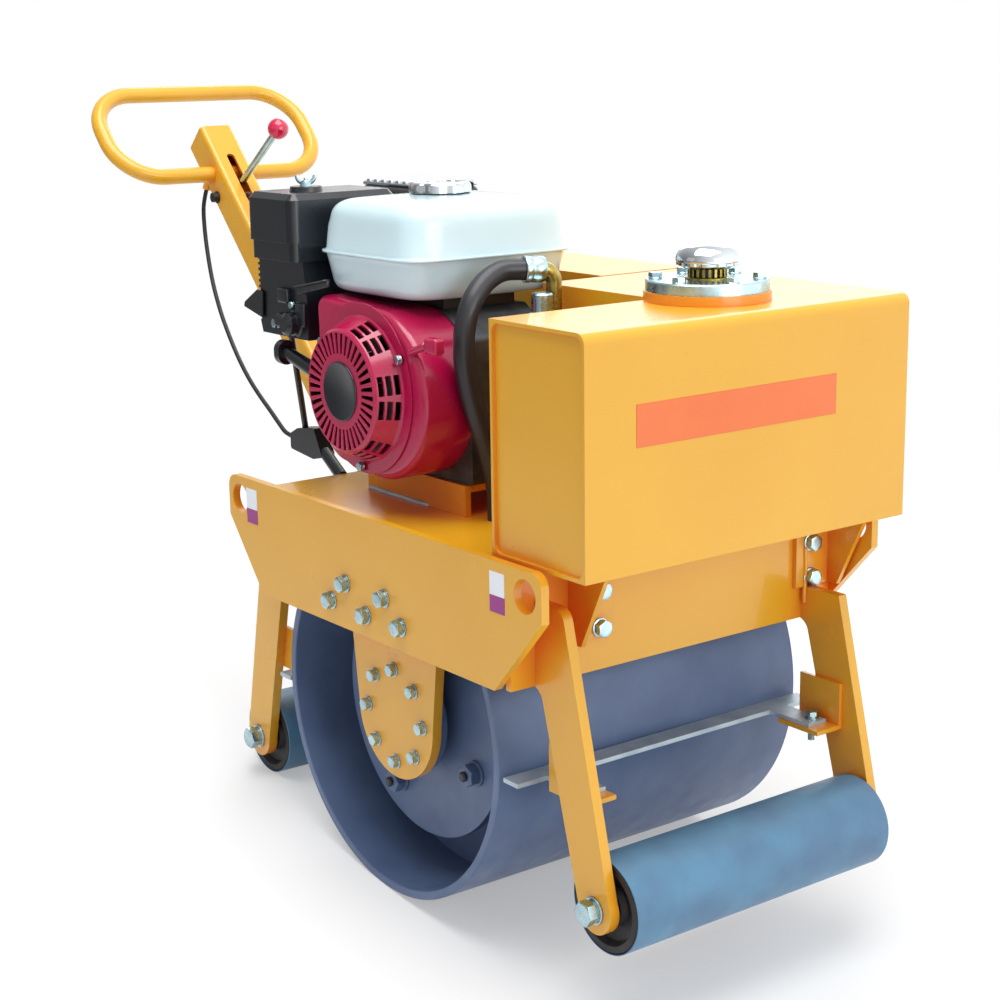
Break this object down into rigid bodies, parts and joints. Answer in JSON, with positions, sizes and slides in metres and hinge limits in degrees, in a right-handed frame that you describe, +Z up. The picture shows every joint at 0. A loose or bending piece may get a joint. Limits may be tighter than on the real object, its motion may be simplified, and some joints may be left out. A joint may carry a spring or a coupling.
{
  "type": "walk-behind vibratory road roller",
  "caption": "Pedestrian road roller: one vibrating steel drum, two small trailing rollers, petrol engine, sprinkler tank and drawbar with loop handle.",
  "frame": {"origin": "middle of the machine's bounding box, on the ground", "axes": "+X forwards to the sprinkler tank, +Y to the machine's left, +Z up"},
  "size_m": [1.3112, 0.484, 0.8106],
  "materials": {
    "yellow_enamel": "gloss",
    "grey_enamel": "satin",
    "crimson_enamel": "gloss",
    "white_enamel": "gloss",
    "black_enamel": "satin",
    "zinc": "satin",
    "chrome": "polished",
    "rubber": "matte",
    "black_plastic": "matte",
    "cast_aluminium": "satin"
  },
  "bodies": {
    "frame": {"air_cleaner": "black_plastic", "axle_tube": "grey_enamel", "belt_guard": "yellow_enamel", "breather_cap": "chrome", "cable_junction": "black_plastic", "carburettor": "cast_aluminium", "control_cable": "rubber", "crankcase": "cast_aluminium", "cylinder_head": "cast_aluminium", "deck": "yellow_enamel", "drawbar": "yellow_enamel", "engine_base": "yellow_enamel", "fan_shroud": "crimson_enamel", "filler_flange": "zinc", "filler_neck": "yellow_enamel", "front_axle": "zinc", "front_cross_plate": "yellow_enamel", "front_leg_left": "yellow_enamel", "front_leg_right": "yellow_enamel", "front_scraper": "zinc", "fuel_cap": "chrome", "fuel_tank": "white_enamel", "handle_bracket": "yellow_enamel", "handle_loop": "yellow_enamel", "hanger_left": "yellow_enamel", "hanger_right": "yellow_enamel", "hose_fitting": "zinc", "hydraulic_hose": "rubber", "hydraulic_pump": "cast_aluminium", "muffler": "black_enamel", "output_shaft": "zinc", "rear_axle": "zinc", "rear_cross_plate": "yellow_enamel", "rear_leg_left": "yellow_enamel", "rear_leg_right": "yellow_enamel", "rear_scraper": "zinc", "recoil_starter": "crimson_enamel", "scraper_brackets": "yellow_enamel", "shift_lever": "black_plastic", "side_plate_left": "yellow_enamel", "side_plate_right": "yellow_enamel", "starter_grip": "black_plastic", "tank_brackets": "yellow_enamel", "tank_rails": "rubber", "tank_saddle": "black_enamel", "throttle_rod": "zinc", "water_tank": "yellow_enamel"},
    "drum": {"drum": "grey_enamel", "drum_webs": "grey_enamel", "hub_plate_right": "grey_enamel", "hub_plate_left": "grey_enamel", "rubber_buffers": "rubber"},
    "front_roller": {"front_roller": "grey_enamel", "front_roller_ends": "rubber"},
    "rear_roller": {"rear_roller": "grey_enamel", "rear_roller_ends": "rubber"}
  },
  "joints": [
    {"name": "drum_spin", "type": "hinge", "parent": "frame", "child": "drum", "pos_m": [0.24635, 0, 0.2125], "axis": [0, 1, 0], "continuous": true},
    {"name": "front_roller_spin", "type": "hinge", "parent": "frame", "child": "front_roller", "pos_m": [0.60359, 0, 0.13563], "axis": [0, 1, 0], "continuous": true},
    {"name": "rear_roller_spin", "type": "hinge", "parent": "frame", "child": "rear_roller", "pos_m": [-0.07429, 0, 0.052], "axis": [0, 1, 0], "continuous": true}
  ]
}
